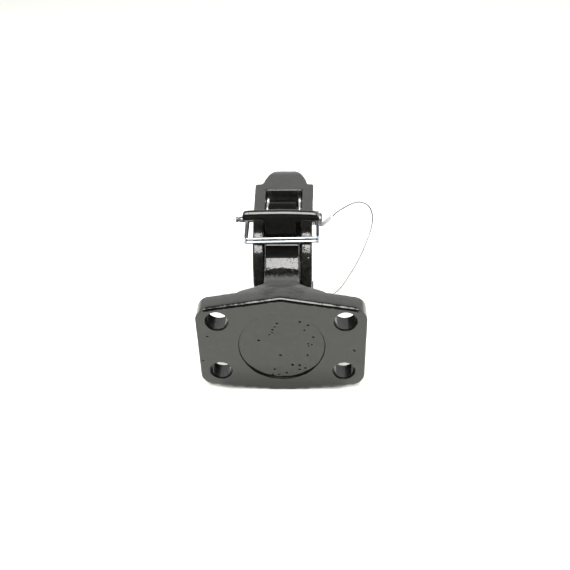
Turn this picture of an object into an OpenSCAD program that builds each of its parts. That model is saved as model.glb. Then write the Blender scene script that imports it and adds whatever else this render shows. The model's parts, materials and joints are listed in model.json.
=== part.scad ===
// Pintle hook with a four-bolt plate.
// Frame: origin at the centre of the bolt pattern on the mounting face,
// the hook reaches along +Y, up is +Z, right (seen from behind) is +X.

/* [Bolt plate] */
// Plate thickness
plate_t = 14; // [12:0.5:18]
// Half width of the plate
plate_hw = 57.5; // [54:0.5:62]
// Height of the upper edge's ridge above the centre
plate_hh = 41.8; // [40:0.1:44]
// Depth of the lower edge's ridge below the centre
plate_low = 41.5; // [40:0.1:44]
// Slope of the roof-shaped upper edge, degrees
plate_slope = 9.8; // [6:0.1:11]
// Slope of the lower edge, degrees
plate_slope_low = 6; // [3:0.1:8]
// Corner radius
plate_r = 9; // [6:0.5:10]
// Bolt spacing along X
bolt_dx = 85.725; // [82:0.005:88]
// Bolt spacing along Z
bolt_dz = 44.45; // [42:0.05:46]
// Bolt hole diameter
bolt_d = 15; // [13:0.25:16]
// Radius of the shallow round recess in the mounting face
recess_r = 29.5; // [24:0.5:31]
// Depth of that recess
recess_d = 0.9; // [0.4:0.1:1.5]

/* [Body] */
// Thickness of the neck and post between the jaw's cheeks
post_t = 24.5; // [22:0.5:25]
// Height of the neck's top face
neck_z = 36.8; // [35:0.1:39]
// Half width of the flare where the neck meets the plate
flare_hw = 29.8; // [26:0.1:32]
// Where the post's rear face stands
post_y = 46.7; // [45:0.1:47.5]
// Radius of the hollow between the neck and the post
hollow_r = 19; // [14:0.5:20]
// Radius of the throat
throat_r = 23; // [21:0.5:23.5]
// Width of the horn
horn_w = 38; // [32:1:42]

/* [Jaw] */
// Gap between the cheeks
slot_w = 26; // [25.6:0.1:27]
// Width over both cheeks, at the pivot
jaw_w = 41.4; // [40:0.2:43]
// How much wider the jaw is at its frame, on each side
jaw_grow = 0.6; // [0:0.1:1]
// Height of the flat top of the jaw
jaw_z = 61.5; // [61:0.25:63]
// Front edge of the window
window_y = 104.6; // [103:0.2:106]
// Front edge of the frame, where the nose begins
frame_y = 115; // [112:0.2:116]
// Width of the nose
nose_w = 32.8; // [28:0.2:36]
// Front of the nose
nose_y = 153.2; // [150:0.1:155]
// Jaw pivot diameter
jaw_pin_d = 14; // [12:0.5:15]

/* [Lock lever] */
// Span of the T-bar
tbar_w = 53.4; // [46:0.2:54]
// Width of the lever's web
web_w = 20.6; // [18:0.2:21]
// How far the lever sits left of centre
lever_x = -1.1; // [-1.5:0.1:0]
// Lever pivot diameter
lever_pin_d = 7; // [6:0.5:8]

/* [Lock pin] */
// Pin diameter
pin_d = 4.4; // [4:0.1:5]
// Bail wire diameter
bail_d = 2.2; // [1.8:0.1:2.4]
// Spring wire diameter
spring_d = 2.2; // [1.8:0.1:2.2]
// Lanyard diameter
cable_d = 1.1; // [0.8:0.1:1.4]

/* [Hidden] */
$fn = 48;

// Axes, as [Y, Z]
jaw_axis = [58, 4];      // jaw on the body
lever_axis = [88, 53];   // lever in the jaw
pin_axis = [75, 55];     // lock pin through the cheeks
throat_c = [97, 5];
horn_c = [96, 3.5];      // centre of the horn's outer curve
horn_r = 43.5;
arc_c = [76, 24.5];      // centre of the jaw's rear curve
arc_r = 37;
tooth_r = norm([post_y - jaw_axis[0], 52 - jaw_axis[1]]);   // top of the post, round the jaw's axis
tooth_y = 52.9;          // front face of the tooth
screw_yz = [50, -6];     // lanyard screw on the right cheek
running = 0.06;          // radial clearance of a turning pin

function arc(c, r, a0, a1, n) = [for (i = [0:n]) c + r * [cos(a0 + (a1 - a0) * i / n), sin(a0 + (a1 - a0) * i / n)]];
// A quarter of an ellipse from [cx - rx, cy] to [cx, cy + ry] seen from outside, for the cast fillets
function flare_pts(cx, cy, rx, ry, n) = [for (i = [0:n]) [cx - rx * cos(90 * i / n), cy - ry * sin(90 * i / n)]];

// A YZ outline given a width along X
module side(w, x = 0) translate([x, 0, 0]) rotate([90, 0, 90]) linear_extrude(height = w, center = true) children();
// An XY outline given a height along Z
module plan(z0, z1) translate([0, 0, z0]) linear_extrude(height = z1 - z0) children();
// A pin along X
module xpin(yz, d, x0, x1) translate([x0, yz[0], yz[1]]) rotate([0, 90, 0]) cylinder(d = d, h = x1 - x0);
// A wire swept along points, as one closed skin
module tube(p, d, sides) {
  n = len(p);
  dirs = [for (i = [0:n - 1]) let (v = p[min(i + 1, n - 1)] - p[max(i - 1, 0)]) v / norm(v)];
  seed = abs(dirs[0][0]) < 0.8 ? [1, 0, 0] : [0, 1, 0];
  side0 = cross(dirs[0], seed);
  // the section is carried along the wire without turning round it
  us = [for (i = 0, u = side0 / norm(side0); i < n; i = i + 1, w = u - (u * dirs[min(i, n - 1)]) * dirs[min(i, n - 1)], u = w / norm(w)) u];
  pts = [for (i = [0:n - 1]) let (u = us[i], v = cross(dirs[i], u)) for (k = [0:sides - 1])
         p[i] + d / 2 * (u * cos(360 * k / sides) + v * sin(360 * k / sides))];
  faces = concat([[for (k = [0:sides - 1]) k]],
                 [for (i = [0:n - 2], k = [0:sides - 1]) [(i + 1) * sides + k, (i + 1) * sides + (k + 1) % sides, i * sides + (k + 1) % sides, i * sides + k]],
                 [[for (k = [sides - 1:-1:0]) (n - 1) * sides + k]]);
  polyhedron(points = pts, faces = faces, convexity = 6);
}

// Rounds the inner corners of a path, to a radius of about r
function unit(v) = v / norm(v);
function rounded(p, r, m = 4) = concat([p[0]], [for (i = [1:len(p) - 2]) let (a = p[i - 1] - p[i], b = p[i + 1] - p[i], q = min(r, norm(a) * 0.48, norm(b) * 0.48), s = p[i] + q * unit(a), e = p[i] + q * unit(b))
  for (k = [0:m]) let (t = k / m) (1 - t) * (1 - t) * s + 2 * t * (1 - t) * p[i] + t * t * e], [p[len(p) - 1]]);

// ---------------------------------------------------------------- body

module plate_outline() {
  t = tan(plate_slope);
  tl = tan(plate_slope_low);
  cx = plate_hw - plate_r;
  cz = plate_hh - plate_r / cos(plate_slope) - t * cx;
  cl = plate_low - plate_r / cos(plate_slope_low) - tl * cx;
  q = arc([cx, cz], plate_r, 0, 90 - plate_slope, 7);
  p = arc([cx, -cl], plate_r, plate_slope_low - 90, 0, 7);
  // each ridge is softened within e of the centre line
  function ridge(h, t, e) = [for (i = [0:6]) let (x = e - e * i / 3) [x, h - t * abs(x) - 0.5 * t * (e - abs(x)) * (e - abs(x)) / e]];
  function mirrored(v) = [for (i = [len(v) - 1:-1:0]) [-v[i][0], v[i][1]]];
  function upside(v) = [for (i = [len(v) - 1:-1:0]) [v[i][0], -v[i][1]]];
  polygon(concat(q, ridge(plate_hh, t, 4), mirrored(q), mirrored(p), upside(ridge(plate_low, tl, 10)), p));
}

// Cast flare from the plate into the neck, and the ramp from the plate's ridge down to the neck's top
module flare() {
  x1 = 21.5;
  f = flare_pts(x1, plate_t + 11, x1 - post_t / 2 + 0.5, 8, 8);
  right = concat([[flare_hw, plate_t - 4], [flare_hw, plate_t + 0.2], [flare_hw - 1.2, plate_t + 0.9]], [for (i = [len(f) - 1:-1:0]) f[i]], [[9, plate_t + 12.5]]);
  t = tan(plate_slope);
  intersection() {
    plan(-50, 70) polygon(concat(right, [for (i = [len(right) - 1:-1:0]) [-right[i][0], right[i][1]]]));
    // its top follows the plate's sloping edge, a little below it
    translate([0, 40, 0]) rotate([90, 0, 0]) linear_extrude(height = 40)
      polygon([[-40, -26.2], [40, -26.2], [40, plate_hh - 0.45 - t * 40], [1.5, plate_hh - 0.45 - t * 1.5], [-1.5, plate_hh - 0.45 - t * 1.5], [-40, plate_hh - 0.45 - t * 40]]);
    side(80) polygon([[plate_t - 5, -30], [plate_t - 5, 41.2], [plate_t + 0.6, 41.1], [plate_t + 2, 40.2], [plate_t + 4, 39.3], [plate_t + 8, 38.1], [plate_t + 13, neck_z - 0.2], [plate_t + 13, -30]]);
  }
}

module body_side() {
  r = throat_r + 0.3;
  top = concat([[plate_t - 4, neck_z]], arc([post_y - hollow_r, neck_z + hollow_r], hollow_r, -90, -30, 8), [[post_y, 50.4], [post_y, 51]],
               arc(jaw_axis, tooth_r, 102.7, acos((tooth_y - jaw_axis[0]) / tooth_r), 5),
               [[tooth_y, 49.2], [60.5, 48.8], [72.6, 40.4], [throat_c[0] - r, 36]],
               arc(throat_c, r, 180, 250, 12));
  bottom = concat(arc(horn_c, horn_r - 0.5, 275, 245, 6), [[66, -31.6], [52, -27.6], [34, -25.6]], arc([24, -36.6], 11, 80, 130, 4), [[plate_t - 4, -30]]);
  polygon(concat(top, bottom));
}

module horn_side() {
  difference() {
    intersection() {
      translate(horn_c) circle(r = horn_r, $fn = 96);
      polygon([[62, -45], [150, -45], [150, 15], [104, 15], [throat_c[0], throat_c[1]], [74, 5], [62, -4]]);
    }
    translate(throat_c) circle(r = throat_r, $fn = 96);
  }
  translate([127.8, 15]) circle(r = 10.1);
}

// Rounds the horn across its width, inside and outside
module horn_round() {
  h = horn_w / 2;
  r = 7;
  translate([0, throat_c[0], throat_c[1]]) rotate([90, 0, 90]) rotate_extrude($fn = 96) difference() {
    translate([throat_r, -h]) square([24, 2 * h]);
    for (s = [-1, 1]) {
      difference() {
        translate([throat_r - 1, s > 0 ? h - r : -h - 1]) square([r + 1, r + 1]);
        translate([throat_r + r, s * (h - r)]) circle(r = r);
      }
    }
  }
}

module horn() {
  difference() {
    intersection() {
      side(horn_w + 2) horn_side();
      horn_round();
      plan(-50, 60) polygon([[-19, 60], [19, 60], [19, 108], [17.8, 120], [16, 131], [13, 137.5], [8, 141], [-8, 141], [-13, 137.5], [-16, 131], [-17.8, 120], [-19, 108]]);
    }
    // room for the jaw's round cheek ends
    for (s = [-1, 1]) xpin(jaw_axis, 2 * 17.6, s > 0 ? post_t / 2 - 0.2 : -30, s > 0 ? 30 : -post_t / 2 + 0.2);
  }
}

module hook_body() {
  color([0.09, 0.09, 0.09]) difference() {
    union() {
      translate([0, plate_t, 0]) rotate([90, 0, 0]) linear_extrude(height = plate_t) plate_outline();
      side(post_t) body_side();
      flare();
      horn();
    }
    // bolt holes and the round recess in the mounting face
    for (x = [-1, 1], z = [-1, 1]) translate([x * bolt_dx / 2, plate_t + 1, z * bolt_dz / 2]) rotate([90, 0, 0]) cylinder(d = bolt_d, h = plate_t + 2);
    translate([0, recess_d, 0]) rotate([90, 0, 0]) cylinder(r = recess_r, h = 2, $fn = 96);
    // jaw pivot bore
    xpin(jaw_axis, jaw_pin_d + 2 * running, -20, 20);
  }
}

// ---------------------------------------------------------------- jaw

module jaw_side() {
  difference() {
    union() {
      polygon(concat([[76, jaw_z]], arc(arc_c, arc_r, 90, 180, 18), arc(jaw_axis, 17, 180, 360, 24),
                     [[throat_c[0], throat_c[1]], [115.6, 23], [118.6, 26], [nose_y - 8, 26]],
                     arc([nose_y - 7, 33], 7, -90, 0, 6), arc([nose_y - 25, jaw_z - 25], 25, 6, 90, 12), [[frame_y, jaw_z]]));
    }
    translate(throat_c) circle(r = throat_r + 1.2, $fn = 96);
  }
}

module jaw_plan() {
  h = jaw_w / 2;
  g = h + jaw_grow;
  n = nose_w / 2;
  y0 = frame_y + 1.8;
  right = concat([[h, 30], [h, 58], [h + jaw_grow * 0.45, 77], [g - 0.05, 98]], arc([g - 1.2, frame_y - 1.2], 1.2, 0, 90, 4), [[n + 1.8, frame_y]],
                 [for (i = [1:3]) [n + 1.8 - 1.8 * sin(22.5 * i), y0 - 1.8 * cos(22.5 * i)]],
                 // the nose narrows in a plain blunt curve
                 [for (i = [0:11]) let (w = 1 - i / 12) [n * pow(w, 0.84), y0 + (nose_y - y0) * (1 - w * w)]]);
  polygon(concat(right, [[0, nose_y]], [for (i = [len(right) - 1:-1:0]) [-right[i][0], right[i][1]]]));
}

module upper_jaw() {
  color([0.10, 0.10, 0.10]) difference() {
    intersection() {
      side(jaw_w + 2) jaw_side();
      plan(-40, 80) jaw_plan();
    }
    translate([-slot_w / 2, 20, -60]) cube([slot_w, window_y - 20, 160]);
    // hole for the jaw pivot, a press fit in both cheeks
    xpin(jaw_axis, jaw_pin_d, -30, 30);
    // hole for the lever pivot, a press fit in both cheeks
    xpin(lever_axis, lever_pin_d, -30, 30);
    // holes for the lock pin, which slides
    xpin(pin_axis, pin_d + 0.16, -30, 30);
    // blind hole for the lanyard screw
    xpin(screw_yz, 4, 15, 30);
    // ledges for the spring's two ends
    for (s = [-1, 1]) translate([s * 11.7 - 1.3, window_y - 1, 54.9]) cube([2.6, 1.4, 8]);
  }
}

module jaw_pivot_pin() {
  e = jaw_w / 2 + 0.9;
  color([0.12, 0.12, 0.12]) {
    xpin(jaw_axis, jaw_pin_d, -e + 0.8, e - 0.8);
    translate([e - 0.8, jaw_axis[0], jaw_axis[1]]) rotate([0, 90, 0]) cylinder(d1 = jaw_pin_d, d2 = jaw_pin_d - 1.6, h = 0.8);
    translate([-e, jaw_axis[0], jaw_axis[1]]) rotate([0, 90, 0]) cylinder(d1 = jaw_pin_d - 1.6, d2 = jaw_pin_d, h = 0.8);
  }
}

// ---------------------------------------------------------------- lock lever

module lever_side() {
  difference() {
    union() {
      // web that carries the T-bar, and the toe at its foot
      polygon([[53.8, 53], [58.8, 53.6], [62, 55.6], [66, 57.4], [59.8, 62], [59.6, 68], [53.8, 68]]);
      // arm over the lock pin to the hub
      polygon([[57, 55.6], [64, 54.6], [71, 53.9], [84, 52], [88, 47.4], [92, 49.6], [97.2, 50.2], [98, 51.6], [97.6, 53.6], [93, 58.6], [89, 60.9], [86.5, 61], [79.5, 59.3], [77.6, 60.6], [75.5, 62.2], [70, 62.6], [64, 61.6], [59, 64]]);
      translate(lever_axis) circle(r = 6.1);
    }
    // the lock pin's passage, open below
    translate(pin_axis) circle(r = 3.55);
    translate([pin_axis[0] - 3.55, 40]) square([7.1, pin_axis[1] - 40]);
    // keeps clear of the post's tooth as the jaw turns
    translate(jaw_axis) circle(r = tooth_r + 0.35, $fn = 96);
  }
}

module lock_lever() {
  h = tbar_w / 2;
  bar_x = lever_x + 0.5;
  color([0.08, 0.08, 0.08]) difference() {
    union() {
      side(web_w, lever_x) lever_side();
      // T-bar, with round ends and a full round along its rear upper edge
      intersection() {
        side(tbar_w, bar_x) polygon(concat([[53.8, 67], [54.5, 66.4], [58.9, 66.4], [59.6, 67], [59.8, 71.2]], arc([57.2, 71.3], 2.6, 12, 78, 4), arc([57.2, 70.5], 3.4, 90, 180, 7)));
        translate([bar_x, 80, 0]) rotate([90, 0, 0]) linear_extrude(height = 40)
          polygon(concat(arc([h - 3.75, 70.15], 3.75, -90, 90, 9), arc([-h + 3.75, 70.15], 3.75, 90, 270, 9)));
      }
      // fillets between the web and the bar
      translate([lever_x, 59.6, 0]) rotate([90, 0, 0]) linear_extrude(height = 5.8)
        polygon(concat([[-web_w / 2, 60]], [for (i = [0:5]) [-web_w / 2 - 4 + 4 * cos(18 * i), 67 - 4 + 4 * sin(18 * i)]],
                       [for (i = [5:-1:0]) [web_w / 2 + 4 - 4 * cos(18 * i), 67 - 4 + 4 * sin(18 * i)]], [[web_w / 2, 60]]));
    }
    xpin(lever_axis, lever_pin_d + 2 * running, -30, 30);
    // room for the spring on the left
    translate([-20, 80, 40]) cube([20 - 10.2, 30, 30]);
  }
}

module lever_pivot_pin() {
  e = jaw_w / 2 + jaw_grow + 0.3;
  color([0.35, 0.35, 0.34]) xpin(lever_axis, lever_pin_d, -e, e);
}

// Hairpin spring: both legs run forward over the pivot to the window's front wall, and a cross wire bears up under the lever's nose
module lever_spring() {
  w = 4.9;             // radius of its bend round the pivot
  y0 = lever_axis[0];
  z0 = lever_axis[1];
  y1 = 95.4;
  half = concat(rounded([[11.7, 102.6, z0 + w + 1.9], [11.7, 102.2, z0 + w], [11.7, y0 + 1, z0 + w]], 0.9),
                [for (i = [0:12]) [11.7, y0 + w * cos(90 + 15 * i), z0 + w * sin(90 + 15 * i)]],
                rounded([[11.7, y0 + 1, z0 - w], [11.7, y1, z0 - w], [0, y1, z0 - w]], 2.4));
  color([0.75, 0.75, 0.73]) tube(concat(half, [for (i = [len(half) - 2:-1:0]) [-half[i][0], half[i][1], half[i][2]]]), spring_d, 10);
}

// ---------------------------------------------------------------- lock pin and bail

bail_x = 24.6;      // cross hole in the head
module lock_pin() {
  color([0.82, 0.82, 0.80]) difference() {
    union() {
      xpin(pin_axis, pin_d, -33.1, 24);
      translate([-34.1, pin_axis[0], pin_axis[1]]) rotate([0, 90, 0]) cylinder(d1 = pin_d - 2, d2 = pin_d, h = 1);
      xpin(pin_axis, 9, 22.6, 27.1);
      translate([27.1, pin_axis[0], pin_axis[1]]) rotate([0, 90, 0]) cylinder(d1 = 9, d2 = 7.4, h = 0.8);
    }
    translate([bail_x, pin_axis[0], 40]) cylinder(d = bail_d + 0.2, h = 30);
  }
}

// One wire: through the head, back over and under, across behind the jaw, and forward round the pin's tail
module pin_bail() {
  a = [52, 54.6];       // front run behind the jaw, as [Y, Z]
  b = [49.2, 53.85];    // rear run
  l = -25.4;
  route = [[bail_x, 75, 55.3], [bail_x, 75, 61.6], [bail_x, 66, 60.6], [bail_x, a[0] - 0.2, a[1] + 0.2], [l, a[0], a[1]], [l, 64, 57.7], [l, 76, 59.3],
           [l, 81, 55.4], [l, 76, 50.6], [l, 62, 50.4], [l, 50.6, 50.6], [l, b[0], b[1]], [bail_x, b[0], b[1]], [bail_x, 50.4, 50.4],
           [bail_x, 66, 48.8], [bail_x, 75, 48.4], [bail_x, 75, 54.7]];
  color([0.86, 0.86, 0.84]) tube(rounded(route, 1.7), bail_d, 10);
}

// ---------------------------------------------------------------- lanyard

// Upper ferrule, upper eye round the pin between the cheek and the head, and back through the ferrule
ferrule_up = [[28.2, 77.4, 48.9], [35.6, 76.4, 57]];
eye_up = [[35.2, 77, 56.6], [28.25, 78, 49], [27.75, 78.1, 48.45], [26.3, 78.9, 48.9], [24.4, 79.2, 50.3], [22.4, 79, 51.6], [21.65, 78.4, 53.6], [21.65, 77.8, 56.6], [21.65, 75.4, 58.3],
          [21.65, 72.8, 57.3], [21.65, 71.7, 54.7], [21.65, 73, 52.1], [21.8, 75.4, 50.7], [23.2, 77, 49.5], [26.3, 77.1, 48.2], [27.6, 76.9, 48.15], [28.15, 76.8, 48.8]];
// The lanyard's route, from the upper ferrule to the lower one
lanyard_route = [[35.5, 75.8, 56.9], [38.1, 75.9, 60], [43, 76, 63.7], [47.9, 76, 66.8], [51.7, 75.6, 68.5], [55.2, 75, 68.9], [58.6, 74, 68],
                 [61.1, 73, 65.8], [62.7, 72, 62.2], [63.4, 71, 58], [63.1, 70, 53.7], [61.9, 68, 48.3], [59.7, 66, 42], [56.6, 64, 33.6],
                 [52, 61, 24.2], [47, 58.4, 15.8], [42.6, 56.4, 9.2], [38.2, 55, 4.4], [33.6, 54.4, 1]];
// Lower ferrule, and the lower eye round the screw
ferrule_low = [[33.6, 55, 1], [27.8, 55.2, -2.2]];
eye_low = [[27.8, 54.6, -2.2], [24.6, 55.2, -2.6], [22.6, 55.2, -2.8], [21.5, 54.4, -3], [21.35, 52.4, -2.9], [21.35, 50, -2.6], [21.35, 47.3, -4.2],
           [21.35, 46.7, -7.1], [21.35, 49, -9.3], [21.35, 52, -8.7], [21.35, 54.3, -6.4], [21.7, 55.4, -5], [22.6, 55.9, -4.4], [24.6, 56.2, -3.9],
           [27.8, 55.8, -2.2], [33.2, 55.6, 0.8]];

// Points on a smooth curve through the route
function spline(p, i, t) = let (n = len(p), a = p[max(i - 1, 0)], b = p[i], c = p[i + 1], e = p[min(i + 2, n - 1)])
  0.5 * (2 * b + (c - a) * t + (2 * a - 5 * b + 4 * c - e) * t * t + (3 * b - a - 3 * c + e) * t * t * t);
function smooth(p, m) = concat([for (i = [0:len(p) - 2], k = [0:m - 1]) spline(p, i, k / m)], [p[len(p) - 1]]);

module lanyard_cable() {
  color([0.8, 0.8, 0.78]) tube(concat(eye_up, smooth(lanyard_route, 2), eye_low), cable_d, 8);
}

// Crimp sleeve with an oval passage for the two strands
module ferrule(p, d) {
  v = p[1] - p[0];
  l = norm(v);
  color([0.7, 0.7, 0.69]) translate(p[0]) rotate([0, acos(v[2] / l), atan2(v[1], v[0])]) difference() {
    union() {
      for (s = [-1, 1]) translate([0, s * 0.6, 0]) cylinder(d = d, h = l, $fn = 32);
      translate([-d / 2, -0.6, 0]) cube([d, 1.2, l]);
    }
    translate([0, 0, -1]) {
      for (s = [-1, 1]) translate([0, s * 0.62, 0]) cylinder(d = cable_d + 0.3, h = l + 2, $fn = 24);
      translate([-cable_d / 2 - 0.15, -0.62, 0]) cube([cable_d + 0.3, 1.24, l + 2]);
    }
  }
}

module lanyard_ferrule_upper() ferrule(ferrule_up, 2.6);
module lanyard_ferrule_lower() ferrule(ferrule_low, 2.6);

module lanyard_screw() {
  color([0.72, 0.72, 0.70]) {
    xpin(screw_yz, 4, 15, 23);
    translate([22.9, screw_yz[0], screw_yz[1]]) rotate([0, 90, 0]) cylinder(d = 7, h = 2.4, $fn = 6);
  }
}

module lanyard_washer() {
  color([0.74, 0.74, 0.72]) difference() {
    xpin(screw_yz, 9, 22, 22.9);
    xpin(screw_yz, 4, 20, 24);
  }
}

hook_body();
upper_jaw();
jaw_pivot_pin();
lock_lever();
lever_pivot_pin();
lever_spring();
lock_pin();
pin_bail();
lanyard_cable();
lanyard_ferrule_upper();
lanyard_ferrule_lower();
lanyard_screw();
lanyard_washer();
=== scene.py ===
import json
import math

import bmesh
import bpy
import numpy as np
from mathutils import Matrix, Vector, noise

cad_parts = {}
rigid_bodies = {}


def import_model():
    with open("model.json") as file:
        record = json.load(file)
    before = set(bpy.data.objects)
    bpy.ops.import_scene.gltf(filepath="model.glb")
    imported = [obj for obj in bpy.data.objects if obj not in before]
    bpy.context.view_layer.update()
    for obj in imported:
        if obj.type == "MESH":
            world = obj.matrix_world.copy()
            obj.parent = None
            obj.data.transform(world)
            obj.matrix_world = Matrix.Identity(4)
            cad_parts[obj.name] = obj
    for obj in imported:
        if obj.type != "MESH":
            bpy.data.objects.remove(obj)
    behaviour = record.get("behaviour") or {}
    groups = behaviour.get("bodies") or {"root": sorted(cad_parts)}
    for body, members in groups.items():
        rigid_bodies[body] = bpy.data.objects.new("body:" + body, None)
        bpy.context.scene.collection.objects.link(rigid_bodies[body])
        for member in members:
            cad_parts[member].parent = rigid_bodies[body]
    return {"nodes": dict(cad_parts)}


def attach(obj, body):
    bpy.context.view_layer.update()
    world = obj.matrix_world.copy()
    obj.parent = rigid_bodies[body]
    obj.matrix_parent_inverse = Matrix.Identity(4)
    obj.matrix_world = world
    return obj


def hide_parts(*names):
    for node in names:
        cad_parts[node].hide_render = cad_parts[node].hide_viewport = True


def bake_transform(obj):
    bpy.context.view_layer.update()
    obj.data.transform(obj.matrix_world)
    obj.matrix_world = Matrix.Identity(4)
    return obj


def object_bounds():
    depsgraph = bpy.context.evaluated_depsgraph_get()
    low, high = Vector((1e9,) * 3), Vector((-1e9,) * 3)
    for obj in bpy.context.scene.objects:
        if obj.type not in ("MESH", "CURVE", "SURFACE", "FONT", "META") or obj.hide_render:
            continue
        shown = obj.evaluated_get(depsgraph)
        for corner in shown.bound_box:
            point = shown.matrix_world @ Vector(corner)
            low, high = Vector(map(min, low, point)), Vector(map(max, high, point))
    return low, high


MM = 0.001
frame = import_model()
nodes = frame["nodes"]
cad_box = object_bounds()
scene = bpy.context.scene

# ------------------------------------------------------------------ camera


def make_camera():
    pitch, yaw, roll = (math.radians(a) for a in (37.19, 2.535, -1.541))
    m = Matrix.Rotation(yaw, 3, "Z") @ Matrix.Rotation(-pitch, 3, "X")
    r, f, u = m @ Vector((1, 0, 0)), m @ Vector((0, 1, 0)), m @ Vector((0, 0, 1))
    right = math.cos(roll) * r + math.sin(roll) * u
    up = -math.sin(roll) * r + math.cos(roll) * u
    data = bpy.data.cameras.new("camera")
    data.sensor_width = 36
    data.lens = 36 * 750 / 570
    data.clip_start, data.clip_end = 0.01, 50
    cam = bpy.data.objects.new("camera", data)
    scene.collection.objects.link(cam)
    cam.matrix_world = Matrix(
        (
            (right.x, up.x, -f.x, 0.02023),
            (right.y, up.y, -f.y, -0.38052),
            (right.z, up.z, -f.z, 0.34194),
            (0, 0, 0, 1),
        )
    )
    scene.camera = cam


make_camera()

# ------------------------------------------------------------------ mesh helpers


def link(name, mesh, smooth=True):
    ob = bpy.data.objects.new(name, mesh)
    scene.collection.objects.link(ob)
    if smooth:
        mesh.polygons.foreach_set("use_smooth", [True] * len(mesh.polygons))
    return ob


def make(name, verts, faces, smooth=True, scale=MM):
    mesh = bpy.data.meshes.new(name)
    mesh.from_pydata([tuple(scale * c for c in v) for v in verts], [], faces)
    mesh.validate()
    mesh.update()
    return link(name, mesh, smooth)


def spline(pts, per):
    """A smooth curve through pts, with per points between each pair; the same curve as the CAD's."""
    p = [Vector(q) for q in pts]
    n = len(p)
    out = []
    for i in range(n - 1):
        a, b, c, e = p[max(i - 1, 0)], p[i], p[i + 1], p[min(i + 2, n - 1)]
        for k in range(per):
            t = k / per
            out.append(
                0.5
                * (
                    2 * b
                    + (c - a) * t
                    + (2 * a - 5 * b + 4 * c - e) * t * t
                    + (3 * b - a - 3 * c + e) * t * t * t
                )
            )
    return out + [p[-1]]


def rounded(pts, r, m=6):
    """The path with its inner corners rounded."""
    p = [Vector(q) for q in pts]
    out = [p[0]]
    for i in range(1, len(p) - 1):
        a, b = p[i - 1] - p[i], p[i + 1] - p[i]
        q = min(r, a.length * 0.48, b.length * 0.48)
        s, e = p[i] + q * a.normalized(), p[i] + q * b.normalized()
        for k in range(m + 1):
            t = k / m
            out.append((1 - t) ** 2 * s + 2 * t * (1 - t) * p[i] + t * t * e)
    return out + [p[-1]]


def resampled(pts, step):
    """Points along a path, a fixed step apart."""
    d = np.array([list(q) for q in pts])
    keep = np.concatenate([[True], np.linalg.norm(np.diff(d, axis=0), axis=1) > 1e-6])
    d = d[keep]
    s = np.concatenate([[0], np.cumsum(np.linalg.norm(np.diff(d, axis=0), axis=1))])
    n = max(2, round(s[-1] / step) + 1)
    t = np.linspace(0, s[-1], n)
    return [Vector([float(np.interp(x, s, d[:, k])) for k in range(3)]) for x in t], float(s[-1])


def sweep(name, pts, profile, turn=0.0, cap=0.0, scale=MM):
    """A section swept along pts without twisting, apart from turn degrees per unit of length. profile is a list of (radius, angle)."""
    n = len(pts)
    verts, faces = [], []
    u = None
    s = 0.0
    k = len(profile)
    rings = []
    for i in range(n):
        d = (pts[min(i + 1, n - 1)] - pts[max(i - 1, 0)]).normalized()
        if u is None:
            seed = Vector((1, 0, 0)) if abs(d.x) < 0.8 else Vector((0, 1, 0))
            u = d.cross(seed).normalized()
        else:
            u = (u - u.dot(d) * d).normalized()
            s += (pts[i] - pts[i - 1]).length
        rings.append((pts[i], u, d.cross(u), d, math.radians(turn * s)))
    extra_a, extra_b = [], []
    if cap:
        p, u0, v0, d, a = rings[0]
        extra_a = [(p - d * cap * 0.7, u0, v0, a, 0.55), (p - d * cap * 0.35, u0, v0, a, 0.87)]
        p, u0, v0, d, a = rings[-1]
        extra_b = [(p + d * cap * 0.35, u0, v0, a, 0.87), (p + d * cap * 0.7, u0, v0, a, 0.55)]
    full = extra_a + [(p, u0, v0, a, 1.0) for p, u0, v0, d, a in rings] + extra_b
    for p, u0, v0, a, f in full:
        for r, w in profile:
            verts.append(p + f * r * (u0 * math.cos(w + a) + v0 * math.sin(w + a)))
    m = len(full)
    for i in range(m - 1):
        for j in range(k):
            a, b = i * k + j, i * k + (j + 1) % k
            faces.append((a, b, b + k, a + k))
    faces.append(tuple(range(k - 1, -1, -1)))
    faces.append(tuple((m - 1) * k + j for j in range(k)))
    return make(name, verts, faces, scale=scale)


def circle(r, sides):
    return [(r, 2 * math.pi * i / sides) for i in range(sides)]


def lathe(name, profile, origin, sides=64, ripple=None):
    """A turned piece along X: profile is a list of (x, radius); origin is (y, z)."""
    verts, faces = [], []
    for x, r in profile:
        for j in range(sides):
            w = 2 * math.pi * j / sides
            q = r * (1 + (ripple(x, w) if ripple else 0))
            verts.append((x, origin[0] + q * math.cos(w), origin[1] + q * math.sin(w)))
    for i in range(len(profile) - 1):
        for j in range(sides):
            a, b = i * sides + j, i * sides + (j + 1) % sides
            faces.append((a, b, b + sides, a + sides))
    faces.append(tuple(range(sides - 1, -1, -1)))
    faces.append(tuple((len(profile) - 1) * sides + j for j in range(sides)))
    return make(name, verts, faces)


def arc_profile(x0, x1, r, e, m=5):
    """A rounded-end turned profile from x0 to x1."""
    out = [(x0, max(r - e - 0.001, 0.01))]
    out += [(x0 + e * (1 - math.cos(math.pi / 2 * i / m)), r - e * (1 - math.sin(math.pi / 2 * i / m))) for i in range(m + 1)]
    out += [(x1 - e * (1 - math.sin(math.pi / 2 * i / m)), r - e * (1 - math.cos(math.pi / 2 * i / m))) for i in range(m + 1)]
    return out + [(x1, max(r - e - 0.001, 0.01))]


# ------------------------------------------------------------------ lanyard

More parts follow.
